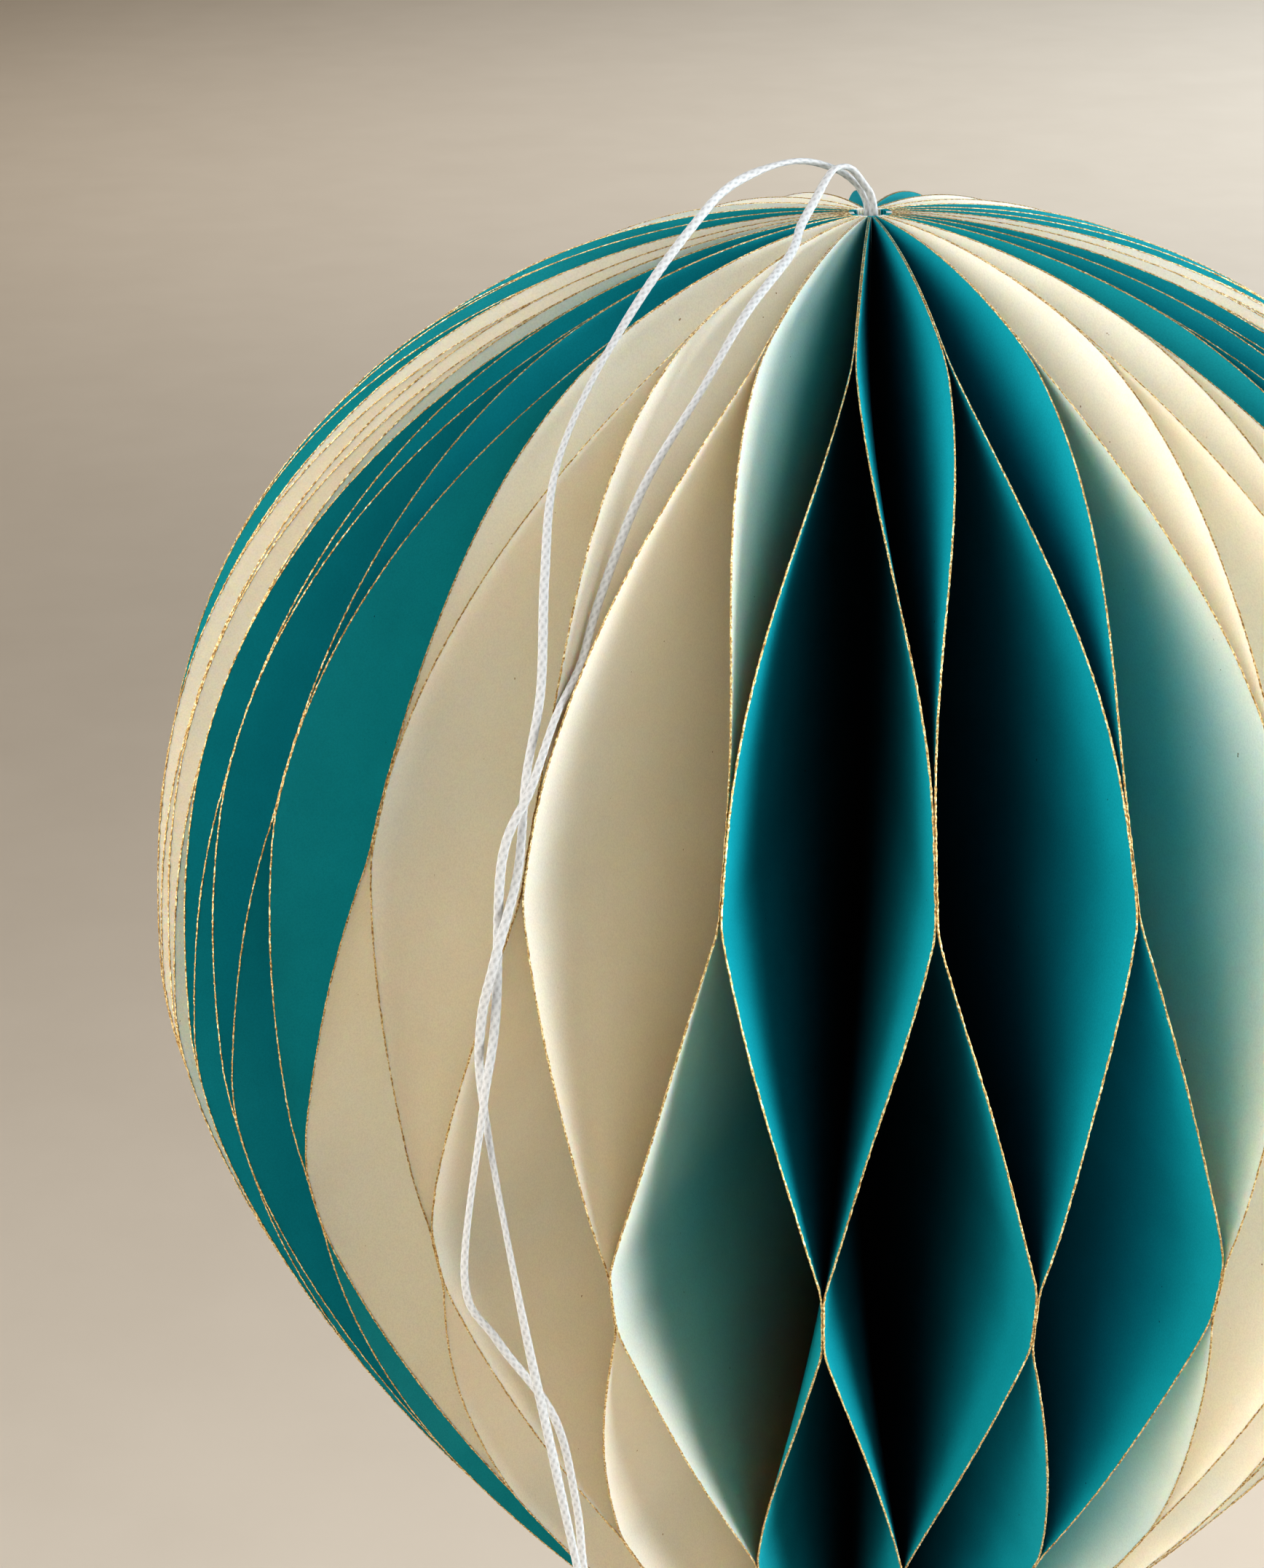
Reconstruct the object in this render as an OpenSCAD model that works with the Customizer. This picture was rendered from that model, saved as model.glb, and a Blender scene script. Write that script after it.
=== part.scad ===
/* [Ball] */
// Diameter across the widest part
ball_d = 165; // [100:1:260]
// Depth of the widest part below the crown
belly_depth = 83.6; // [50:0.2:140]
// Height from the widest part down to the tip
tip_drop = 114.8; // [60:0.2:200]
// Roundness of the upper half towards the widest part, where 2 is an ellipse
belly_round = 2.4; // [1.6:0.05:3]
// Roundness of the upper half at the crown, where less is more pointed
crown_round = 1.9; // [1.4:0.05:3]
// Fullness of the lower half, where 1 is a straight cone
tip_full = 1.64; // [1:0.02:2.6]

/* [Paper] */
// Leaves in one run of a single colour
run_leaves = 5; // [3:2:9]
// Runs of teal around the ball, with as many runs of cream between them
teal_runs = 6; // [3:1:8]
// Thickness of a leaf
paper_t = 0.16; // [0.1:0.01:0.4]
// Least width of a leaf, at the crown and at the tip
leaf_end_w = 0.6; // [0.3:0.1:3]

/* [Glue strips] */
// Depth of the middle of the first strip below the crown
strip_first = 3.4; // [1:0.2:12]
// Distance from one strip to the next
strip_pitch = 45.6; // [25:0.2:80]
// Width of a strip along the axis
strip_w = 7.6; // [2:0.2:14]
// Thickness of the glue between two leaves
glue_t = 0.02; // [0.02:0.01:0.1]
// How fast the topmost cells open below the crown, where 1 is even
crown_ease = 2; // [1:0.1:3]

/* [Opening] */
// Direction of the first pair of leaves, in degrees
front_angle = -6; // [-20:0.1:20]
// How far the front and the back are opened more than the sides, in degrees
fan_angle = 5.1; // [0:0.1:6]
// How far the leaves are drawn towards the side across from the closing seam, in degrees
side_angle = 19.5; // [10:0.1:22]
// How far the leaves are drawn together at the closing seam, in degrees
seam_angle = 29.9; // [0:0.1:30]
// How far to each side the seam draws them, in degrees
seam_spread_angle = 33; // [30:0.5:50]

/* [Cord] */
// Diameter of the hanging cord
cord_d = 1; // [0.6:0.1:1.6]
// Length of each cord end inside the spine
cord_tuck = 12; // [5:1:30]

/* [Hidden] */
ball_r = ball_d / 2;
ball_h = belly_depth + tip_drop;
leaf_count = 2 * run_leaves * teal_runs;
pair_angle = 360 / (leaf_count / 2);
seam_place = -(run_leaves + 0.5) * pair_angle;

// The leaves stand side by side at the spine, some at a slant, around a hole that takes both ends of the cord
leaf_pitch = paper_t + glue_t;
most_slant = max([for (leaf = [0:leaf_count - 1]) abs(fan_pull(leaf * pair_angle / 2))]);
stack_r = 1.02 * leaf_pitch / cos(most_slant) / (2 * sin(pair_angle / 4));
cord_room = 1.2 * cord_d;
spine_r = max(stack_r, cord_room);
end_r = spine_r + leaf_end_w;

// Glue strips that fit above the tip
strip_half = strip_w / 2;
strip_count = floor((ball_h - strip_w - strip_first) / strip_pitch) + 1;
function strip_at(i) = strip_first + i * strip_pitch;

// Rows of points down a leaf: in the crown, in each cell and in the last stretch to the tip
crown_rows = 3;
cell_rows = [4, 3, 3, 2];
tip_rows = 2;
crown_end = strip_first + strip_half;
strips_end = strip_at(strip_count - 1) + strip_half;
function rows_in(i) = cell_rows[min(i, len(cell_rows) - 1)];
function cell_top(i) = strip_at(i) + strip_half;
function cell_bottom(i) = strip_at(i + 1) - strip_half;
function cell_row(i, j) = cell_top(i) + (cell_bottom(i) - cell_top(i)) * j / rows_in(i);
row_depths = concat(
    [for (j = [0:crown_rows - 1]) crown_end * pow(j / crown_rows, 2)],
    [for (i = [0:strip_count - 2]) for (j = [0:rows_in(i)]) cell_row(i, j)],
    [for (j = [0:tip_rows]) strips_end + (ball_h - strips_end) * j / tip_rows]
);

// Radius of the cut edge at a depth below the crown
function upper_share(d) = pow(1 - pow(1 - d / belly_depth, belly_round), 1 / crown_round);
function lower_share(d) = 1 - pow((d - belly_depth) / tip_drop, tip_full);
function edge_share(d) = d < belly_depth ? upper_share(max(d, 0)) : lower_share(min(d, ball_h));
function edge_r(d) = end_r + (ball_r - end_r) * edge_share(d);

// Swing of a leaf at a depth: 0 on a strip that joins its own pair, 1 on a strip that joins the next pair
function cell_of(d) = min(max(floor((d - strip_first) / strip_pitch), 0), strip_count - 2);
function cell_share(d, i) = min(max((d - cell_top(i)) / (cell_bottom(i) - cell_top(i)), 0), 1);
function eased(x, i) = i == 0 ? 1 - pow(1 - x, crown_ease) : x;
function swing_in(x, i) = i % 2 == 0 ? eased(x, i) : 1 - x;
function swing(d) = swing_in(cell_share(d, cell_of(d)), cell_of(d));

// Direction of a pair of leaves at the spine, where they stand evenly; half numbers lie between two pairs
function even_turn(p) = front_angle + p * pair_angle;

// Direction of a pair at the cut edge, where the fan isn't even
function around(a) = a - 360 * floor((a + 180) / 360);
function soft_step(x) = (1 - exp(-2 * x)) / (1 + exp(-2 * x));
function seam_pull(a) = around(a - seam_place) / 180 - soft_step(around(a - seam_place) / seam_spread_angle);
function fan_pull(a) =
    fan_angle * sin(2 * a) + side_angle * (cos(a) - 1) + seam_angle * (seam_pull(a) - seam_pull(0));
function edge_turn(p) = even_turn(p) + fan_pull(p * pair_angle);

// Each leaf leans from the plane of its own pair towards the plane beside it
function lean(leaf) = leaf % 2 == 0 ? -1 : 1;
function own_pair(leaf) = floor(leaf / 2);
function between(a, b, share) = a + (b - a) * share;
function leaf_foot(leaf, d) = between(
    even_turn(own_pair(leaf)), even_turn(own_pair(leaf) + lean(leaf) / 2), swing(d));
function leaf_end(leaf, d) = between(
    edge_turn(own_pair(leaf)), edge_turn(own_pair(leaf) + lean(leaf) / 2), swing(d));
function leaf_offset(leaf, d) = lean(leaf) * (0.5 - swing(d)) * leaf_pitch;

// A point on a straight line from the spine out to the widest part, at offset o to its side
function towards(turn) = [sin(turn), -cos(turn)];
function beside(line) = [-line.y, line.x] / norm(line);
function on_line(foot, end, r, o) =
    foot + (end - foot) * (r - spine_r) / (ball_r - spine_r) + o * beside(end - foot);
function leaf_corner(leaf, d, r, side) = concat(
    on_line(
        spine_r * towards(leaf_foot(leaf, d)),
        ball_r * towards(leaf_end(leaf, d)),
        r,
        leaf_offset(leaf, d) + side * paper_t / 2),
    -d);
function leaf_row(leaf, d) = [
    leaf_corner(leaf, d, spine_r, -1),
    leaf_corner(leaf, d, edge_r(d), -1),
    leaf_corner(leaf, d, edge_r(d), 1),
    leaf_corner(leaf, d, spine_r, 1)
];

// Faces of a skin that joins rings of n points, with both ends closed; one side may take the other diagonal
function joined(lists) = [for (list = lists) for (item = list) item];
function quad(a, b, c, d, other) = other ? [[a, b, d], [b, c, d]] : [[a, b, c], [a, c, d]];
function ring_faces(rings, n, other_side = -1) = concat(
    joined([for (i = [0:rings - 2]) for (j = [0:n - 1])
        quad(i * n + j, i * n + (j + 1) % n, (i + 1) * n + (j + 1) % n, (i + 1) * n + j, j == other_side)]),
    [[for (j = [n - 1:-1:0]) j]],
    [[for (j = [0:n - 1]) (rings - 1) * n + j]]
);

// The leaves of one run share a node, each a solid of its own
run_count = 2 * teal_runs;
function is_teal(run) = run % 2 == 0;
function run_name(run) = str(is_teal(run) ? "teal" : "cream", "_run_", floor(run / 2) + 1);

// Route of the cord: out of the spine, over the shoulder, down past the widest part and back up beside itself
cord_x = 0.35 * cord_d;
cord_y = 0.45 * cord_d;
cord_route = [
    [cord_x, -cord_y, -cord_tuck], [cord_x, -cord_y, -cord_tuck / 3], [cord_x, -cord_y, 0],
    [0, -0.4, 2], [-0.8, -0.6, 3.3], [-2.3, -1.3, 5.2], [-3.9, -2.4, 5.5], [-5, -4, 4.8], [-6.5, -7.5, 3.1],
    [-8.2, -11.5, 1.2], [-9.6, -17, -0.7], [-14.6, -27, -4.5], [-19.5, -36.1, -10.3], [-25.5, -44.5, -17.9],
    [-30, -53, -26.9], [-31.9, -57.7, -32], [-34.4, -62.3, -36], [-36.8, -67, -41.6], [-39.8, -69, -48.6],
    [-40.7, -70.9, -64.3], [-42.1, -73.8, -73.4], [-44.5, -71.7, -93.5], [-41.4, -69.9, -101.7],
    [-35.8, -67.9, -111.9], [-33.7, -65.7, -123.4], [-33.1, -64.6, -131.5], [-32.6, -65.5, -136.5],
    [-32.6, -69.5, -136.7], [-33.1, -70.6, -131.5], [-35.7, -70.6, -116.2], [-38.9, -73.2, -95.5],
    [-42.1, -71.8, -73.9], [-42.2, -71.4, -65.3], [-40.7, -72, -58.2], [-38.3, -68.5, -50.1],
    [-37.4, -65, -41.5], [-35.9, -60.3, -34], [-35.5, -52.4, -25], [-34.6, -42.4, -17.5], [-31.2, -33, -10.9],
    [-25.2, -22, -3.4], [-19.2, -13.2, 2.5], [-16, -8.8, 4.8], [-11.9, -5.2, 6.1], [-7.8, -2.4, 6.3],
    [-4.1, -0.4, 5], [-1.8, 0.6, 3.3], [-0.7, 0.6, 1.6],
    [-cord_x, cord_y, 0], [-cord_x, cord_y, -cord_tuck / 3], [-cord_x, cord_y, -cord_tuck]
];
cord_steps = 2;
cord_sides = 8;

// A smooth curve through the route's points
function curve_point(a, b, c, d, t) =
    (2 * b + (c - a) * t + (2 * a - 5 * b + 4 * c - d) * t * t + (3 * b - a - 3 * c + d) * t * t * t) / 2;
function route_at(i) = cord_route[min(max(i, 0), len(cord_route) - 1)];
cord_points = concat(
    [for (i = [0:len(cord_route) - 2]) for (k = [0:cord_steps - 1])
        curve_point(route_at(i - 1), route_at(i), route_at(i + 1), route_at(i + 2), k / cord_steps)],
    [route_at(len(cord_route) - 1)]
);
cord_last = len(cord_points) - 1;

// Directions along the curve, and a side vector that turns with them as little as it can
function unit(v) = v / norm(v);
function cord_dir(i) = unit(cord_points[min(i + 1, cord_last)] - cord_points[max(i - 1, 0)]);
function square_to(v, dir) = unit(v - (v * dir) * dir);
cord_side_vectors = [
    for (i = 0, side = square_to([1, 0, 0], cord_dir(0));
        i <= cord_last;
        i = i + 1, side = square_to(side, cord_dir(min(i, cord_last)))) side
];
function cord_ring(i) = [
    for (k = [0:cord_sides - 1])
        cord_points[i]
        + cord_d / 2 * cos(360 * k / cord_sides) * cord_side_vectors[i]
        + cord_d / 2 * sin(360 * k / cord_sides) * cross(cord_side_vectors[i], cord_dir(i))
];

module leaf(number) {
    rows = [for (d = row_depths) leaf_row(number, d)];
    polyhedron(joined(rows), ring_faces(len(rows), 4, 2), 4);
}

module run_of_leaves(run) {
    for (place = [0:run_leaves - 1]) leaf(run * run_leaves + place);
}

module teal_run(run) {
    color([0.0, 0.52, 0.56]) run_of_leaves(run);
}

module cream_run(run) {
    color([0.93, 0.9, 0.81]) run_of_leaves(run);
}

module hanging_cord() {
    rings = [for (i = [0:cord_last]) cord_ring(i)];
    color([0.95, 0.94, 0.93]) polyhedron(joined(rings), ring_faces(len(rings), cord_sides), 4);
}

for (run = [0:run_count - 1]) {
    union() {
        if (is_teal(run)) teal_run(run);
        else cream_run(run);
    }
}
hanging_cord();
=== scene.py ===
import math

import bpy
import numpy as np
from mathutils import Matrix, Vector


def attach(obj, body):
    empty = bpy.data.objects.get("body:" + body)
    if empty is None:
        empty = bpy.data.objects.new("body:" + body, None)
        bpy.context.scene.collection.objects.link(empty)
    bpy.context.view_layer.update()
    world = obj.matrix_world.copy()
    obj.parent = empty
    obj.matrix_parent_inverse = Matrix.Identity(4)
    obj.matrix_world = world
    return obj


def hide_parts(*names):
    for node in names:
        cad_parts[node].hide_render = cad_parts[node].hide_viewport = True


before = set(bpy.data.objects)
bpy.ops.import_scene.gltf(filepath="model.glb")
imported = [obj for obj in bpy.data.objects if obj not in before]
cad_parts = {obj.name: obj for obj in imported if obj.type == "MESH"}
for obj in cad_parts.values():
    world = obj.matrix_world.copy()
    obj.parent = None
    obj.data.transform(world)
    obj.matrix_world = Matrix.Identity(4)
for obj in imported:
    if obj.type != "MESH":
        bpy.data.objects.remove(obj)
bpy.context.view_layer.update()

MM = 0.001
rng = np.random.default_rng(7)

# Sizes of the ball in millimetres and its angles in degrees, as in the part's source
BALL_R = 82.5
BELLY_DEPTH = 83.6
TIP_DROP = 114.8
BALL_H = BELLY_DEPTH + TIP_DROP
BELLY_ROUND = 2.4
CROWN_ROUND = 1.9
TIP_FULL = 1.64
RUN_LEAVES = 5
RUNS = 12
LEAVES = RUNS * RUN_LEAVES
PAPER_T = 0.16
GLUE_T = 0.02
LEAF_PITCH = PAPER_T + GLUE_T
LEAF_END_W = 0.6
SPINE_EASE = 1.02
STRIP_FIRST = 3.4
STRIP_PITCH = 45.6
STRIP_W = 7.6
STRIPS = 5
CROWN_EASE = 2
FRONT_ANGLE = -6
FAN_ANGLE = 5.1
SIDE_ANGLE = 19.5
SEAM_ANGLE = 29.9
SEAM_SPREAD_ANGLE = 33
PAIR_ANGLE = 360 / (LEAVES / 2)
SEAM_PLACE = -(RUN_LEAVES + 0.5) * PAIR_ANGLE


# Direction of a pair of leaves at the spine, where they stand evenly, and at the cut edge, where they don't
def even_turn(p):
    return FRONT_ANGLE + p * PAIR_ANGLE


def seam_pull(a):
    around = (a - SEAM_PLACE + 180) % 360 - 180
    return around / 180 - math.tanh(around / SEAM_SPREAD_ANGLE)


def fan_pull(a):
    draw = SEAM_ANGLE * (seam_pull(a) - seam_pull(0))
    return FAN_ANGLE * math.sin(math.radians(2 * a)) + SIDE_ANGLE * (math.cos(math.radians(a)) - 1) + draw


def edge_turn(p):
    return even_turn(p) + fan_pull(p * PAIR_ANGLE)


MOST_SLANT = max(abs(fan_pull(leaf * PAIR_ANGLE / 2)) for leaf in range(LEAVES))
SLANT_PITCH = SPINE_EASE * LEAF_PITCH / math.cos(math.radians(MOST_SLANT))
SPINE_R = SLANT_PITCH / (2 * math.sin(math.radians(PAIR_ANGLE / 4)))
END_R = SPINE_R + LEAF_END_W

# The leaf's mesh, the soft bend beside a glue strip, and how far the loose paper wavers
LEAF_ROWS = 200
LEAF_COLUMNS = 6
BEND_SOFT = 1.4
SLACK = 0.022
EDGE_WANDER = 0.0012

# The gold line on the cut edge: its lumps, its unsteadiness in millimetres, and its thin start at the crown and the tip
GOLD_R = 0.115
GOLD_LUMPS = (0.72, 1.28)
GOLD_SHAKE = (0.03, 0.025)
GOLD_THIN = 0.4
GOLD_FULL_R = 65

# The cord: its braid, how flat it lies, and its route in millimetres from the crown
CORD_D = 1
CORD_STEP = 0.2
CORD_SIDES = 16
CORD_FLAT = 0.66
BRAID_STRANDS = 4
BRAID_PITCH = 1.3
BRAID_DEPTH = 0.06
CORD_ROUTE = [
    (0.35, -0.45, -12), (0.35, -0.45, -4), (0.35, -0.45, 0), (0, -0.4, 2), (-0.8, -0.6, 3.3), (-2.3, -1.3, 5.2),
    (-3.9, -2.4, 5.5), (-5, -4, 4.8), (-6.5, -7.5, 3.1), (-8.2, -11.5, 1.2), (-9.6, -17, -0.7), (-14.6, -27, -4.5),
    (-19.5, -36.1, -10.3), (-25.5, -44.5, -17.9), (-30, -53, -26.9), (-31.9, -57.7, -32), (-34.4, -62.3, -36),
    (-36.8, -67, -41.6), (-39.8, -69, -48.6), (-40.7, -70.9, -64.3), (-42.1, -73.8, -73.4), (-44.5, -71.7, -93.5),
    (-41.4, -69.9, -101.7), (-35.8, -67.9, -111.9), (-33.7, -65.7, -123.4), (-33.1, -64.6, -131.5),
    (-32.6, -65.5, -136.5), (-32.6, -69.5, -136.7), (-33.1, -70.6, -131.5), (-35.7, -70.6, -116.2),
    (-38.9, -73.2, -95.5), (-42.1, -71.8, -73.9), (-42.2, -71.4, -65.3), (-40.7, -72, -58.2), (-38.3, -68.5, -50.1),
    (-37.4, -65, -41.5), (-35.9, -60.3, -34), (-35.5, -52.4, -25), (-34.6, -42.4, -17.5), (-31.2, -33, -10.9),
    (-25.2, -22, -3.4), (-19.2, -13.2, 2.5), (-16, -8.8, 4.8), (-11.9, -5.2, 6.1), (-7.8, -2.4, 6.3), (-4.1, -0.4, 5),
    (-1.8, 0.6, 3.3), (-0.7, 0.6, 1.6), (-0.35, 0.45, 0), (-0.35, 0.45, -4), (-0.35, 0.45, -12),
]

# The camera in metres and degrees, with its focal length in pixels of the photo's height
CAMERA_PLACE = (-0.02696, -0.41088, 0.09322)
CAMERA_DOWN = 21.373
CAMERA_ROLL = -0.566
SENSOR = 36
FOCAL_PIXELS = 5177.7
PHOTO_PIXELS = 2154

# The stage in metres: the lamps' aim, the floor's height and its size
AIM_Z = -0.07
FLOOR_Z = -0.75
FLOOR_SIZE = 16


def pick(*things):
    """Selects these objects and nothing else, with the first of them active."""
    bpy.ops.object.select_all(action="DESELECT")
    for thing in things:
        thing.select_set(True)
    if things:
        bpy.context.view_layer.objects.active = things[0]


# Camera: above the crown's left, looking down at the upper part of the ball
def place_camera():
    down = Matrix.Rotation(math.radians(90 - CAMERA_DOWN), 4, "X")
    roll = Matrix.Rotation(math.radians(CAMERA_ROLL), 4, "Z")
    bpy.ops.object.camera_add(location=CAMERA_PLACE, rotation=(down @ roll).to_euler())
    camera = bpy.context.object
    camera.data.sensor_width = SENSOR
    camera.data.lens = FOCAL_PIXELS / PHOTO_PIXELS * SENSOR
    camera.data.clip_start = 0.02
    bpy.context.scene.camera = camera


# Node helpers for the finishes
class Finish:
    def __init__(self, name):
        self.material = bpy.data.materials.new(name)
        self.material.use_nodes = True
        self.tree = self.material.node_tree
        self.shader = self.tree.nodes["Principled BSDF"]
        self.place = self.add("ShaderNodeTexCoord").outputs["Object"]

    def add(self, kind, **settings):
        node = self.tree.nodes.new(kind)
        for key, value in settings.items():
            setattr(node, key, value)
        return node

    def link(self, a, b):
        self.tree.links.new(a, b)

    def feed(self, name, value):
        self.link(value, self.shader.inputs[name])

    def set(self, **values):
        for key, value in values.items():
            self.shader.inputs[key.replace("_", " ")].default_value = value

    def speckle(self, scale, detail=2.0, rough=0.5):
        node = self.add("ShaderNodeTexNoise")
        node.inputs["Scale"].default_value = scale
        node.inputs["Detail"].default_value = detail
        node.inputs["Roughness"].default_value = rough
        self.link(self.place, node.inputs["Vector"])
        return node.outputs["Fac"]

    def ramp(self, fac, stops):
        node = self.add("ShaderNodeValToRGB")
        ramp = node.color_ramp
        while len(ramp.elements) < len(stops):
            ramp.elements.new(0.5)
        for element, (at, colour) in zip(ramp.elements, stops):
            element.position = at
            element.color = (*colour, 1)
        self.link(fac, node.inputs["Fac"])
        return node.outputs["Color"]

    def grey_ramp(self, fac, stops):
        return self.ramp(fac, [(at, (grey,) * 3) for at, grey in stops])

    def mix(self, kind, amount, a, b):
        node = self.add("ShaderNodeMix", data_type="RGBA", blend_type=kind)
        for socket, value in ((node.inputs[0], amount), (node.inputs[6], a), (node.inputs[7], b)):
            if isinstance(value, (int, float, tuple)):
                socket.default_value = value
            else:
                self.link(value, socket)
        return node.outputs[2]

    def bump(self, height, strength, distance):
        node = self.add("ShaderNodeBump")
        node.inputs["Strength"].default_value = strength
        node.inputs["Distance"].default_value = distance
        self.link(height, node.inputs["Height"])
        self.feed("Normal", node.outputs["Normal"])


def paper_finish(name, colour, deep, fleck, through=0):
    """Matte uncoated paper: a fine felt grain, faint clouds in the dye and a few dark fibres."""
    paper = Finish(name)
    felt = paper.speckle(5200, 3)
    clouds = paper.speckle(140, 3)
    fibres = paper.speckle(1500, 1)
    tone = paper.ramp(clouds, [(0.3, deep), (0.7, colour)])
    grain = paper.grey_ramp(felt, [(0.3, 0.86), (0.62, 1)])
    dyed = paper.mix("MULTIPLY", 0.6, tone, grain)
    specks = paper.grey_ramp(fibres, [(0.165, 1), (0.185, 0)])
    paper.feed("Base Color", paper.mix("MIX", specks, dyed, (*fleck, 1)))
    paper.feed("Roughness", paper.grey_ramp(felt, [(0.3, 0.7), (0.7, 0.54)]))
    paper.set(Specular_IOR_Level=0.25)
    paper.bump(felt, 0.25, 0.00004)
    if through:
        paper.set(Subsurface_Weight=through, Subsurface_Radius=(1.3, 1.0, 0.65), Subsurface_Scale=0.00012)
    return paper.material


def gold_finish(name):
    """Gold edge paint, granular, with bright flakes in a bronze ground."""
    gold = Finish(name)
    grains = gold.speckle(3600, 2, 0.6)
    patches = gold.speckle(420, 2)
    bronze, dull, bright, flake = (0.27, 0.15, 0.055), (0.56, 0.38, 0.16), (0.84, 0.69, 0.4), (0.97, 0.91, 0.72)
    flakes = gold.ramp(grains, [(0.32, bronze), (0.47, dull), (0.6, bright), (0.73, flake)])
    worn = gold.ramp(patches, [(0.35, (0.6, 0.5, 0.38)), (0.6, (1, 1, 1))])
    gold.feed("Base Color", gold.mix("MULTIPLY", 0.35, flakes, worn))
    gold.feed("Roughness", gold.grey_ramp(grains, [(0.35, 0.6), (0.7, 0.34)]))
    gold.set(Metallic=0.65)
    gold.bump(grains, 0.8, 0.00012)
    return gold.material


def cord_finish(name):
    """White waxed cotton: paler on the crowns of the strands and greyer in the gaps of the braid, which is painted
    shade in the braid's recesses.
    """
    cotton = Finish(name)
    height = cotton.add("ShaderNodeAttribute", attribute_name="strand_height").outputs["Fac"]
    fuzz = cotton.speckle(6000, 2)
    # The gap and flank colours are painted shade, darker where the braid sinks; the crown colour is the cotton's own
    # white
    gap_shade, flank_shade, crown = (0.48, 0.485, 0.495), (0.62, 0.625, 0.635), (0.7, 0.705, 0.71)
    strands = cotton.ramp(height, [(0.2, gap_shade), (0.6, flank_shade), (1.0, crown)])
    dust = cotton.ramp(fuzz, [(0.3, (0.84, 0.83, 0.82)), (0.6, (1, 1, 1))])
    cotton.feed("Base Color", cotton.mix("MULTIPLY", 0.5, strands, dust))
    cotton.feed("Roughness", cotton.grey_ramp(fuzz, [(0.3, 0.75), (0.7, 0.5)]))
    cotton.set(Specular_IOR_Level=0.4)
    cotton.bump(fuzz, 0.3, 0.00003)
    return cotton.material


def floor_finish(name):
    """Pale warm paper sweep with a faint mottle."""
    sweep = Finish(name)
    mottle = sweep.speckle(14, 4)
    sweep.feed("Base Color", sweep.ramp(mottle, [(0.3, (0.70, 0.645, 0.575)), (0.7, (0.72, 0.665, 0.595))]))
    sweep.set(Roughness=0.9, Specular_IOR_Level=0.2)
    return sweep.material


# Hanging cord: a braided tube along the route
def smooth_route():
    """Even steps along one smooth curve through the route's points, and the length run at each step."""
    points = np.array(CORD_ROUTE)
    ends = np.vstack([points[:1], points, points[-1:]])
    t = np.linspace(0, 1, 60, endpoint=False)[:, None]
    line = []
    for a, b, c, d in zip(ends, ends[1:], ends[2:], ends[3:]):
        line.append((2 * b + (c - a) * t + (2 * a - 5 * b + 4 * c - d) * t**2 + (3 * b - a - 3 * c + d) * t**3) / 2)
    line = np.vstack([*line, points[-1:]])
    run = np.r_[0, np.cumsum(np.linalg.norm(np.diff(line, axis=0), axis=1))]
    even = np.arange(0, run[-1], CORD_STEP)
    even = np.r_[even, run[-1]]
    return np.column_stack([np.interp(even, run, line[:, k]) for k in range(3)]), even


def braid(around, along):
    """Height of a braid of four strands each way, from 0 in the gaps to 1 on the crowns."""
    a = BRAID_STRANDS * around / (2 * np.pi) + along / BRAID_PITCH
    b = BRAID_STRANDS * around / (2 * np.pi) - along / BRAID_PITCH
    over = 0.28 * np.cos(np.pi * a) * np.cos(np.pi * b)
    return np.maximum(np.abs(np.cos(np.pi * a)) * (0.72 + over), np.abs(np.cos(np.pi * b)) * (0.72 - over))


def soft_over(values, reach):
    """A running mean over a stretch of the cord, in millimetres."""
    n = int(reach / CORD_STEP) | 1
    return np.convolve(np.pad(values, n // 2, mode="edge"), np.ones(n) / n, mode="valid")


def cord_twist(line, run, forward, side, rise):
    """The cord is soft and a little flat: its flat side lies towards the ball, and it turns over near the crown."""
    out = np.column_stack([line[:, :2] / BALL_R**2, (line[:, 2] + BELLY_DEPTH) / BELLY_DEPTH**2])
    out /= np.linalg.norm(out, axis=1)[:, None]
    flat = np.cross(forward, out)
    lies = np.linalg.norm(flat, axis=1) > 0.5
    lay = np.unwrap(2 * np.arctan2((flat * rise).sum(1), (flat * side).sum(1))[lies]) / 2
    twist = soft_over(soft_over(np.interp(run, run[lies], lay), 6), 6)
    turn_over = 1.1 * np.exp(-(((run[-1] - run - 33) / 5) ** 2))
    return twist + 0.45 * np.sin(run / 7.3) + 0.35 * np.sin(run / 11.9 + 1) + turn_over


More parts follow.
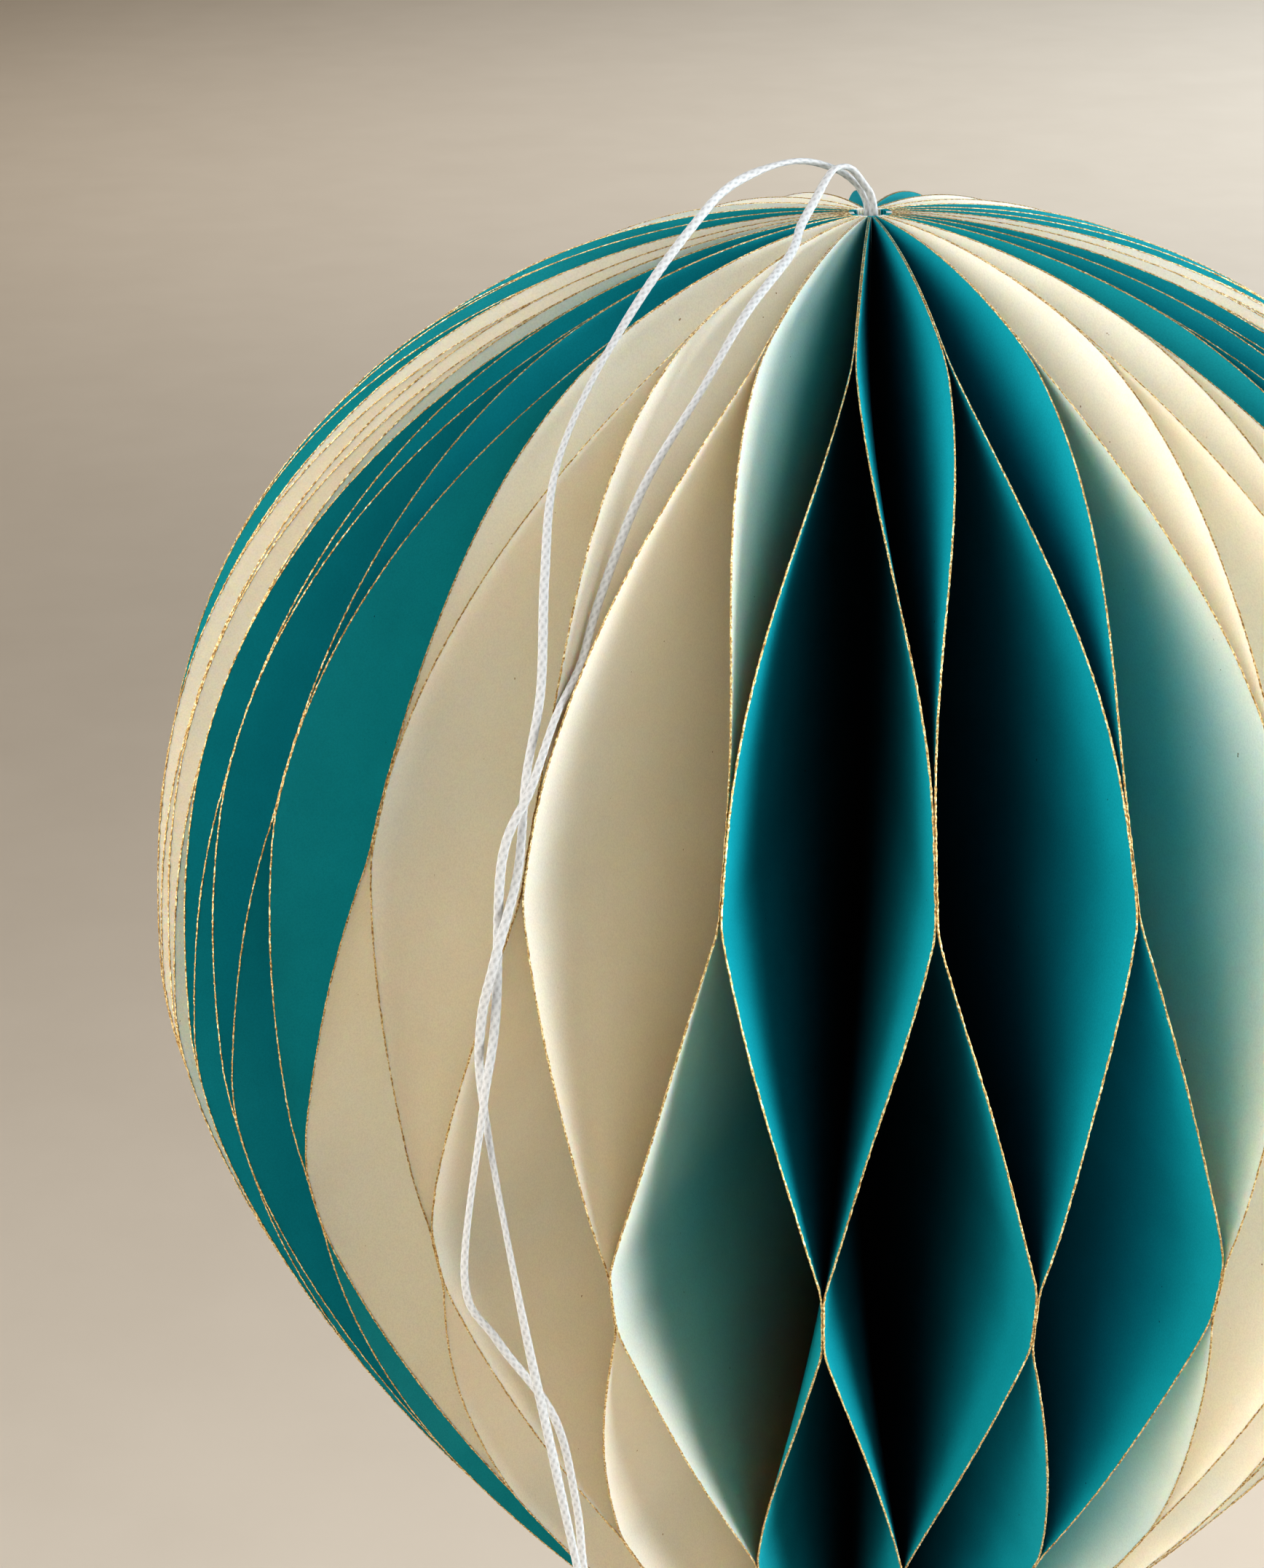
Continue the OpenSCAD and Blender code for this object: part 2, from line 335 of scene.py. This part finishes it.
def make_cord(finish):
    line, run = smooth_route()
    forward = np.gradient(line, axis=0)
    forward /= np.linalg.norm(forward, axis=1)[:, None]
    side = np.zeros_like(line)
    last = np.array([1.0, 0, 0])
    for i, f in enumerate(forward):
        last = last - f * (last @ f)
        last /= np.linalg.norm(last)
        side[i] = last
    rise = np.cross(forward, side)

    sides = CORD_SIDES
    around = np.arange(sides) * 2 * np.pi / sides
    height = braid(around[None, :], run[:, None])
    radius = CORD_D / 2 * (1 - BRAID_DEPTH + BRAID_DEPTH * height)
    wide = radius * np.cos(around)
    thick = CORD_FLAT * radius * np.sin(around)
    turn = cord_twist(line, run, forward, side, rise)[:, None]
    rings = (
        line[:, None]
        + (wide * np.cos(turn) - thick * np.sin(turn))[..., None] * side[:, None]
        + (wide * np.sin(turn) + thick * np.cos(turn))[..., None] * rise[:, None]
    )
    n = len(line)
    faces = [
        (i * sides + j, i * sides + (j + 1) % sides, (i + 1) * sides + (j + 1) % sides, (i + 1) * sides + j)
        for i in range(n - 1)
        for j in range(sides)
    ]
    faces += [tuple(range(sides - 1, -1, -1)), tuple(range((n - 1) * sides, n * sides))]
    mesh = bpy.data.meshes.new("white_cord")
    mesh.from_pydata((rings.reshape(-1, 3) * MM).tolist(), [], faces)
    strand = mesh.attributes.new("strand_height", "FLOAT", "POINT")
    strand.data.foreach_set("value", height.reshape(-1).astype(np.float32))
    cord = bpy.data.objects.new("white_cord", mesh)
    bpy.context.collection.objects.link(cord)
    mesh.materials.append(finish)
    mesh.shade_smooth()
    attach(cord, "root")
    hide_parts("hanging_cord")


# Leaves: one leaf is cut flat, and each copy is bent to its place between the glue strips
def edge_r(d):
    """Radius of the cut edge at a depth below the crown."""
    upper = (1 - np.clip(1 - d / BELLY_DEPTH, 0, 1) ** BELLY_ROUND) ** (1 / CROWN_ROUND)
    lower = 1 - np.clip((d - BELLY_DEPTH) / TIP_DROP, 0, 1) ** TIP_FULL
    return END_R + (BALL_R - END_R) * np.where(d < BELLY_DEPTH, upper, lower)


def cell_share(d):
    """The cell at a depth, and the share of it that lies above, from 0 at its upper strip to 1 at its lower one."""
    cell = np.clip(np.floor((d - STRIP_FIRST) / STRIP_PITCH), 0, STRIPS - 2)
    top = STRIP_FIRST + cell * STRIP_PITCH + STRIP_W / 2
    return cell, np.clip((d - top) / (STRIP_PITCH - STRIP_W), 0, 1)


def sharp_swing(d):
    cell, x = cell_share(d)
    return np.where(cell == 0, 1 - (1 - x) ** CROWN_EASE, np.where(cell % 2 == 0, x, 1 - x))


def swing(d):
    """0 where a leaf is glued to its own pair, 1 where it is glued to the next pair, with the paper's soft bend."""
    return sum(sharp_swing(d + shift) for shift in np.linspace(-BEND_SOFT, BEND_SOFT, 9)) / 9


def leaf_rows():
    """Depths of the leaf's rows, evenly spaced along its cut edge."""
    fine = BALL_H * np.linspace(0, 1, 20001) ** 2
    fine = np.unique(np.r_[fine, np.linspace(0, BALL_H, 8001)])
    r = edge_r(fine)
    run = np.r_[0, np.cumsum(np.hypot(np.diff(fine), np.diff(r)))]
    return np.interp(np.linspace(0, run[-1], LEAF_ROWS + 1), run, fine)


def points_of(mesh):
    co = np.zeros(3 * len(mesh.vertices), np.float32)
    mesh.vertices.foreach_get("co", co)
    return co.reshape(-1, 3)


def move_points(mesh, columns):
    mesh.vertices.foreach_set("co", (np.column_stack(columns) * MM).astype(np.float32).ravel())
    mesh.update()


def cut_sheet():
    """The flat sheet in the plane Y = 0, cut to the outline, and which of its points lie on the cut edge."""
    pick()
    bpy.ops.mesh.primitive_grid_add(x_subdivisions=LEAF_COLUMNS, y_subdivisions=LEAF_ROWS, size=1)
    leaf = bpy.context.object
    co = points_of(leaf.data)
    row = np.round((co[:, 1] + 0.5) * LEAF_ROWS).astype(int)
    d = leaf_rows()[row]
    across = co[:, 0] + 0.5
    r = SPINE_R + (edge_r(d) - SPINE_R) * across
    move_points(leaf.data, [r, 0 * r, -d])
    return leaf, across > 0.999


def paint_edge(leaf, at_edge, gold):
    """The cut edge's own line, taken off the sheet and given its coat of paint."""
    bpy.ops.object.mode_set(mode="EDIT")
    bpy.ops.mesh.select_mode(type="VERT")
    bpy.ops.mesh.select_all(action="DESELECT")
    bpy.ops.object.mode_set(mode="OBJECT")
    leaf.data.vertices.foreach_set("select", at_edge)
    bpy.ops.object.mode_set(mode="EDIT")
    bpy.ops.mesh.duplicate()
    bpy.ops.mesh.separate(type="SELECTED")
    bpy.ops.object.mode_set(mode="OBJECT")
    pick(next(o for o in bpy.context.selected_objects if o is not leaf))
    bpy.ops.object.mode_set(mode="EDIT")
    bpy.ops.mesh.select_all(action="SELECT")
    bpy.ops.mesh.subdivide(number_cuts=4)
    bpy.ops.object.mode_set(mode="OBJECT")
    bpy.ops.object.convert(target="CURVE")
    line = bpy.context.object
    points = line.data.splines[0].points
    lumps = rng.uniform(*GOLD_LUMPS, len(points))
    shake = rng.uniform(-1, 1, (len(points), 2)) * GOLD_SHAKE
    for point, lump, (out, aside) in zip(points, lumps, shake):
        x, y, z, w = point.co
        near_end = min(1, GOLD_THIN + (1 - GOLD_THIN) * (x / MM - END_R) / GOLD_FULL_R)
        point.radius = lump * near_end
        point.co = (x + out * MM, y + aside * near_end * MM, z, w)
    line.data.bevel_depth = GOLD_R * MM
    line.data.bevel_resolution = 0
    line.data.use_fill_caps = True
    bpy.ops.object.convert(target="MESH")
    line = bpy.context.object
    line.data.materials.clear()
    line.data.materials.append(gold)
    return line


def cut_leaf(paper, gold):
    """The flat leaf: a sheet of paper and the painted line on its cut edge."""
    leaf, at_edge = cut_sheet()
    line = paint_edge(leaf, at_edge, gold)
    pick(leaf)
    leaf.data.materials.append(paper)
    thick = leaf.modifiers.new("paper", "SOLIDIFY")
    thick.thickness = PAPER_T * MM
    thick.offset = 0
    bpy.ops.object.modifier_apply(modifier=thick.name)
    line.select_set(True)
    bpy.ops.object.join()
    bpy.ops.object.shade_smooth_by_angle(angle=math.radians(50))
    return leaf


def bend_leaf(leaf, number):
    """Swings the flat leaf to and fro between the plane of its own pair and the plane beside it."""
    r, o, z = points_of(leaf.data).T.astype(float) / MM
    d = -z
    lean = -1 if number % 2 == 0 else 1
    own, other = number // 2, number // 2 + lean / 2
    _, x = cell_share(np.clip(d, 0, BALL_H))
    waves = rng.uniform(0, 2 * np.pi, 3)
    uneven = np.sin(d / 17 + waves[0]) + 0.6 * np.sin(d / 9 + waves[1]) + 0.5 * np.sin(d / 41 + waves[2])
    loose = np.clip(4 * x * (1 - x), 0, 1) ** 1.5
    s = np.clip(swing(d) + SLACK * uneven * loose, 0, 1)
    foot_turn = np.radians(even_turn(own) + (even_turn(other) - even_turn(own)) * s)
    end_turn = np.radians(edge_turn(own) + (edge_turn(other) - edge_turn(own)) * s)
    o = o + lean * (0.5 - s) * LEAF_PITCH
    r = r * (1 + EDGE_WANDER * np.sin(d / 23 + waves[1]))
    foot = SPINE_R * np.array([np.sin(foot_turn), -np.cos(foot_turn)])
    reach = BALL_R * np.array([np.sin(end_turn), -np.cos(end_turn)]) - foot
    beside = np.array([-reach[1], reach[0]]) / np.hypot(*reach)
    flat = foot + reach * (r - SPINE_R) / (BALL_R - SPINE_R) + o * beside
    move_points(leaf.data, [*flat, -d])


def make_leaves(teal, cream, gold):
    pattern = cut_leaf(teal, gold)
    pattern.name = "leaf_pattern"
    for run in range(RUNS):
        colour, paper = ("teal", teal) if run % 2 == 0 else ("cream", cream)
        leaves = []
        for place in range(RUN_LEAVES):
            pick(pattern)
            bpy.ops.object.duplicate(linked=False)
            leaf = bpy.context.object
            leaf.data.materials[0] = paper
            bend_leaf(leaf, run * RUN_LEAVES + place)
            leaves.append(leaf)
        pick(*leaves)
        bpy.ops.object.join()
        fan = bpy.context.object
        fan.name = fan.data.name = f"{colour}_leaves_{run // 2 + 1}"
        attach(fan, "root")
        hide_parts(f"{colour}_run_{run // 2 + 1}")
    bpy.data.objects.remove(pattern)


# Floor and light
def soft_light(name, place, aim, size, power, colour, spread=180):
    bpy.ops.object.light_add(type="AREA", location=place)
    light = bpy.context.object
    light.name = name
    light.rotation_euler = (Vector(aim) - Vector(place)).to_track_quat("-Z", "Y").to_euler()
    light.visible_camera = False
    light.data.shape = "DISK"
    light.data.size = size
    light.data.energy = power
    light.data.color = colour
    light.data.spread = math.radians(spread)


def make_floor():
    pick()
    bpy.ops.mesh.primitive_plane_add(size=FLOOR_SIZE, location=(0, 0, FLOOR_Z))
    floor = bpy.context.object
    floor.name = "floor"
    bpy.ops.object.transform_apply(location=True)
    floor.data.materials.append(floor_finish("pale_sweep"))


def make_lights():
    world = bpy.data.worlds.new("studio")
    world.use_nodes = True
    sky = world.node_tree.nodes["Background"].inputs
    sky["Color"].default_value = (1, 0.985, 0.96, 1)
    sky["Strength"].default_value = 0.03
    bpy.context.scene.world = world

    # Soft lamps a metre from the ball, by direction and height in degrees: both sides are lit and the front is dim
    cool, plain, warm = (0.92, 0.97, 1), (1, 1, 1), (1, 0.95, 0.86)
    for name, turn, rise, size, power, colour in (
        ("right", 80, -2, 1.2, 12.0, cool),
        ("right_top", 90, 50, 0.7, 3.8, cool),
        ("right_front", 54, 4, 0.5, 3.2, cool),
        ("left", -40, 14, 0.9, 4.8, warm),
        ("left_top", -92, 38, 0.9, 5.2, plain),
        ("left_low", -60, -22, 0.5, 1.5, warm),
    ):
        a, e = math.radians(turn), math.radians(rise)
        place = (math.sin(a) * math.cos(e), -math.cos(a) * math.cos(e), math.sin(e) + AIM_Z)
        soft_light(name, place, (0, 0, AIM_Z), size, power, colour)

    # Lamps that look straight down on the floor around the ball, narrow enough to all but miss it
    for name, x, y, z, size, power, colour, spread in (
        ("floor_warm", -0.6, 3.5, 5, 1, 18, (1, 0.88, 0.74), 74),
        ("floor_right", 2.2, 3.6, 4, 1, 41, (0.88, 0.95, 1), 72),
        ("floor_near", 1.5, 0.9, 2.5, 0.5, 12, (1, 0.93, 0.84), 66),
        ("floor_side", -2.3, 0.9, 4, 0.5, 9, (1, 0.92, 0.82), 54),
        ("floor_left", -3.6, -0.4, 5, 1, 20, (1, 0.9, 0.78), 64),
        ("floor_front", 0.4, -3.7, 5, 1, 24, (1, 0.93, 0.84), 62),
    ):
        soft_light(name, (x, y, z), (x, y, FLOOR_Z), size, power, colour, spread)


# Light finds its way into the cells over many bounces, and the display has a strong contrast
def make_stage():
    make_floor()
    make_lights()
    scene = bpy.context.scene
    scene.cycles.diffuse_bounces = 12
    scene.view_settings.view_transform = "Standard"
    scene.view_settings.look = "High Contrast"


place_camera()
make_cord(cord_finish("white_cotton"))
make_leaves(
    paper_finish("teal_paper", (0.012, 0.40, 0.465), (0.010, 0.37, 0.43), (0.002, 0.05, 0.06)),
    paper_finish("cream_paper", (0.885, 0.86, 0.785), (0.87, 0.84, 0.755), (0.4, 0.3, 0.2), 1),
    gold_finish("gold_edge"),
)
make_stage()
